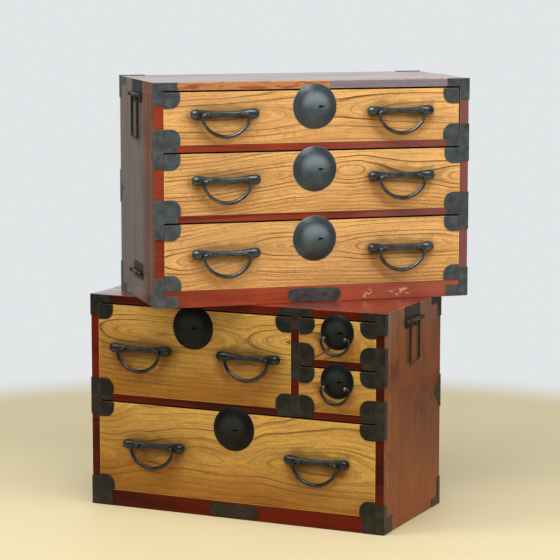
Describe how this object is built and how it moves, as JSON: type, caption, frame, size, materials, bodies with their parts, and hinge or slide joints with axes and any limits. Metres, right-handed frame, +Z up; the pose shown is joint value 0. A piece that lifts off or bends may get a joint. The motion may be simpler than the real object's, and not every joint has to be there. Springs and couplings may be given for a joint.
{
  "type": "small tansu chest",
  "caption": "Two-case stacking tansu chest with locked sliding drawers, domed iron lock plates, bail handles, strapped corners and side carrying bails.",
  "frame": {"origin": "centre of the lower case's underside, on the floor", "axes": "+Z up, -Y out of the lower case's front, +X to its right seen from the front"},
  "size_m": [0.7285, 0.669, 0.8942],
  "materials": {
    "upper_lacquer": "glossy worn red lacquer on wood",
    "lower_lacquer": "glossy dark red lacquer on wood",
    "upper_elm": "clear satin, strong grain",
    "lower_elm": "clear satin, strong grain",
    "cedar": "raw",
    "upper_iron": "blackened, waxed",
    "lower_iron": "blackened, waxed",
    "steel": "brushed"
  },
  "bodies": {
    "lower_case": {"lower_bottom_board": "lower_lacquer", "lower_top_board": "lower_lacquer", "lower_side_boards": "lower_lacquer", "lower_back_boards": "cedar", "lower_rails": "lower_lacquer", "lower_inner_boards": "cedar", "lower_straps": "lower_iron", "lower_handle_brackets": "lower_iron"},
    "upper_case": {"upper_bottom_board": "upper_lacquer", "upper_top_board": "upper_lacquer", "upper_side_boards": "upper_lacquer", "upper_back_boards": "cedar", "upper_rails": "upper_lacquer", "upper_inner_boards": "cedar", "upper_straps": "upper_iron", "upper_handle_brackets": "upper_iron"},
    "upper_top_drawer": {"upper_top_drawer_front": "upper_elm", "upper_top_drawer_box": "cedar", "upper_top_drawer_iron": "upper_iron"},
    "upper_mid_drawer": {"upper_mid_drawer_front": "upper_elm", "upper_mid_drawer_box": "cedar", "upper_mid_drawer_iron": "upper_iron"},
    "upper_low_drawer": {"upper_low_drawer_front": "upper_elm", "upper_low_drawer_box": "cedar", "upper_low_drawer_iron": "upper_iron"},
    "wide_drawer": {"wide_drawer_front": "lower_elm", "wide_drawer_box": "cedar", "wide_drawer_iron": "lower_iron"},
    "small_top_drawer": {"small_top_drawer_front": "lower_elm", "small_top_drawer_box": "cedar", "small_top_drawer_iron": "lower_iron"},
    "small_low_drawer": {"small_low_drawer_front": "lower_elm", "small_low_drawer_box": "cedar", "small_low_drawer_iron": "lower_iron"},
    "long_drawer": {"long_drawer_front": "lower_elm", "long_drawer_box": "cedar", "long_drawer_iron": "lower_iron"},
    "upper_top_left_bail": {"upper_top_left_bail": "upper_iron"},
    "upper_top_right_bail": {"upper_top_right_bail": "upper_iron"},
    "upper_mid_left_bail": {"upper_mid_left_bail": "upper_iron"},
    "upper_mid_right_bail": {"upper_mid_right_bail": "upper_iron"},
    "upper_low_left_bail": {"upper_low_left_bail": "upper_iron"},
    "upper_low_right_bail": {"upper_low_right_bail": "upper_iron"},
    "wide_left_bail": {"wide_left_bail": "lower_iron"},
    "wide_right_bail": {"wide_right_bail": "lower_iron"},
    "small_top_bail": {"small_top_bail": "lower_iron"},
    "small_low_bail": {"small_low_bail": "lower_iron"},
    "long_left_bail": {"long_left_bail": "lower_iron"},
    "long_right_bail": {"long_right_bail": "lower_iron"},
    "lower_left_carrying_bail": {"lower_left_carrying_bail": "lower_iron"},
    "lower_right_carrying_bail": {"lower_right_carrying_bail": "lower_iron"},
    "upper_left_carrying_bail": {"upper_left_carrying_bail": "upper_iron"},
    "upper_right_carrying_bail": {"upper_right_carrying_bail": "upper_iron"},
    "upper_top_lock_bolt": {"upper_top_lock_bolt": "steel"},
    "upper_mid_lock_bolt": {"upper_mid_lock_bolt": "steel"},
    "upper_low_lock_bolt": {"upper_low_lock_bolt": "steel"},
    "wide_lock_bolt": {"wide_lock_bolt": "steel"},
    "small_top_lock_bolt": {"small_top_lock_bolt": "steel"},
    "small_low_lock_bolt": {"small_low_lock_bolt": "steel"},
    "long_lock_bolt": {"long_lock_bolt": "steel"}
  },
  "joints": [
    {"name": "upper_case_lift", "type": "slide", "parent": "lower_case", "child": "upper_case", "axis": [0, 0, 1], "range_m": [0, 0.25]},
    {"name": "upper_top_drawer_slide", "type": "slide", "parent": "upper_case", "child": "upper_top_drawer", "axis": [0.6639, -0.7478, 0], "range_m": [0, 0.24]},
    {"name": "upper_mid_drawer_slide", "type": "slide", "parent": "upper_case", "child": "upper_mid_drawer", "axis": [0.6639, -0.7478, 0], "range_m": [0, 0.24]},
    {"name": "upper_low_drawer_slide", "type": "slide", "parent": "upper_case", "child": "upper_low_drawer", "axis": [0.6639, -0.7478, 0], "range_m": [0, 0.24]},
    {"name": "wide_drawer_slide", "type": "slide", "parent": "lower_case", "child": "wide_drawer", "axis": [0, -1, 0], "range_m": [0, 0.24]},
    {"name": "small_top_drawer_slide", "type": "slide", "parent": "lower_case", "child": "small_top_drawer", "axis": [0, -1, 0], "range_m": [0, 0.24]},
    {"name": "small_low_drawer_slide", "type": "slide", "parent": "lower_case", "child": "small_low_drawer", "axis": [0, -1, 0], "range_m": [0, 0.24]},
    {"name": "long_drawer_slide", "type": "slide", "parent": "lower_case", "child": "long_drawer", "axis": [0, -1, 0], "range_m": [0, 0.24]},
    {"name": "upper_top_left_bail_swing", "type": "hinge", "parent": "upper_top_drawer", "child": "upper_top_left_bail", "pos_m": [0.01127, -0.20492, 0.8305], "axis": [-0.7478, -0.6639, 0], "range_deg": [0, 100]},
    {"name": "upper_top_right_bail_swing", "type": "hinge", "parent": "upper_top_drawer", "child": "upper_top_right_bail", "pos_m": [0.28646, 0.0394, 0.8305], "axis": [-0.7478, -0.6639, 0], "range_deg": [0, 100]},
    {"name": "upper_mid_left_bail_swing", "type": "hinge", "parent": "upper_mid_drawer", "child": "upper_mid_left_bail", "pos_m": [0.01314, -0.20326, 0.699], "axis": [-0.7478, -0.6639, 0], "range_deg": [0, 100]},
    {"name": "upper_mid_right_bail_swing", "type": "hinge", "parent": "upper_mid_drawer", "child": "upper_mid_right_bail", "pos_m": [0.28833, 0.04106, 0.699], "axis": [-0.7478, -0.6639, 0], "range_deg": [0, 100]},
    {"name": "upper_low_left_bail_swing", "type": "hinge", "parent": "upper_low_drawer", "child": "upper_low_left_bail", "pos_m": [0.01277, -0.2036, 0.552], "axis": [-0.7478, -0.6639, 0], "range_deg": [0, 100]},
    {"name": "upper_low_right_bail_swing", "type": "hinge", "parent": "upper_low_drawer", "child": "upper_low_right_bail", "pos_m": [0.28796, 0.04073, 0.552], "axis": [-0.7478, -0.6639, 0], "range_deg": [0, 100]},
    {"name": "wide_left_bail_swing", "type": "hinge", "parent": "wide_drawer", "child": "wide_left_bail", "pos_m": [-0.21, -0.171, 0.3375], "axis": [-1, 0, 0], "range_deg": [0, 100]},
    {"name": "wide_right_bail_swing", "type": "hinge", "parent": "wide_drawer", "child": "wide_right_bail", "pos_m": [0.036, -0.171, 0.3375], "axis": [-1, 0, 0], "range_deg": [0, 100]},
    {"name": "small_top_bail_swing", "type": "hinge", "parent": "small_top_drawer", "child": "small_top_bail", "pos_m": [0.2285, -0.1645, 0.39], "axis": [-1, 0, 0], "range_deg": [0, 100]},
    {"name": "small_low_bail_swing", "type": "hinge", "parent": "small_low_drawer", "child": "small_low_bail", "pos_m": [0.2285, -0.1645, 0.2915], "axis": [-1, 0, 0], "range_deg": [0, 100]},
    {"name": "long_left_bail_swing", "type": "hinge", "parent": "long_drawer", "child": "long_left_bail", "pos_m": [-0.1805, -0.171, 0.137], "axis": [-1, 0, 0], "range_deg": [0, 100]},
    {"name": "long_right_bail_swing", "type": "hinge", "parent": "long_drawer", "child": "long_right_bail", "pos_m": [0.1875, -0.171, 0.137], "axis": [-1, 0, 0], "range_deg": [0, 100]},
    {"name": "lower_left_carrying_bail_swing", "type": "hinge", "parent": "lower_case", "child": "lower_left_carrying_bail", "pos_m": [-0.3362, -0.008, 0.415], "axis": [0, 1, 0], "range_deg": [0, 175]},
    {"name": "lower_right_carrying_bail_swing", "type": "hinge", "parent": "lower_case", "child": "lower_right_carrying_bail", "pos_m": [0.3362, -0.008, 0.415], "axis": [0, -1, 0], "range_deg": [0, 175]},
    {"name": "upper_left_carrying_bail_swing", "type": "hinge", "parent": "upper_case", "child": "upper_left_carrying_bail", "pos_m": [-0.2074, -0.18109, 0.863], "axis": [-0.6639, 0.7478, 0], "range_deg": [0, 175]},
    {"name": "upper_right_carrying_bail_swing", "type": "hinge", "parent": "upper_case", "child": "upper_right_carrying_bail", "pos_m": [0.29542, 0.26533, 0.863], "axis": [0.6639, -0.7478, 0], "range_deg": [0, 175]},
    {"name": "upper_top_lock_bolt_throw", "type": "slide", "parent": "upper_top_drawer", "child": "upper_top_lock_bolt", "axis": [0, 0, 1], "range_m": [0, 0.009]},
    {"name": "upper_mid_lock_bolt_throw", "type": "slide", "parent": "upper_mid_drawer", "child": "upper_mid_lock_bolt", "axis": [0, 0, 1], "range_m": [0, 0.009]},
    {"name": "upper_low_lock_bolt_throw", "type": "slide", "parent": "upper_low_drawer", "child": "upper_low_lock_bolt", "axis": [0, 0, 1], "range_m": [0, 0.009]},
    {"name": "wide_lock_bolt_throw", "type": "slide", "parent": "wide_drawer", "child": "wide_lock_bolt", "axis": [0, 0, 1], "range_m": [0, 0.009]},
    {"name": "small_top_lock_bolt_throw", "type": "slide", "parent": "small_top_drawer", "child": "small_top_lock_bolt", "axis": [0, 0, 1], "range_m": [0, 0.009]},
    {"name": "small_low_lock_bolt_throw", "type": "slide", "parent": "small_low_drawer", "child": "small_low_lock_bolt", "axis": [0, 0, 1], "range_m": [0, 0.009]},
    {"name": "long_lock_bolt_throw", "type": "slide", "parent": "long_drawer", "child": "long_lock_bolt", "axis": [0, 0, 1], "range_m": [0, 0.009]}
  ]
}
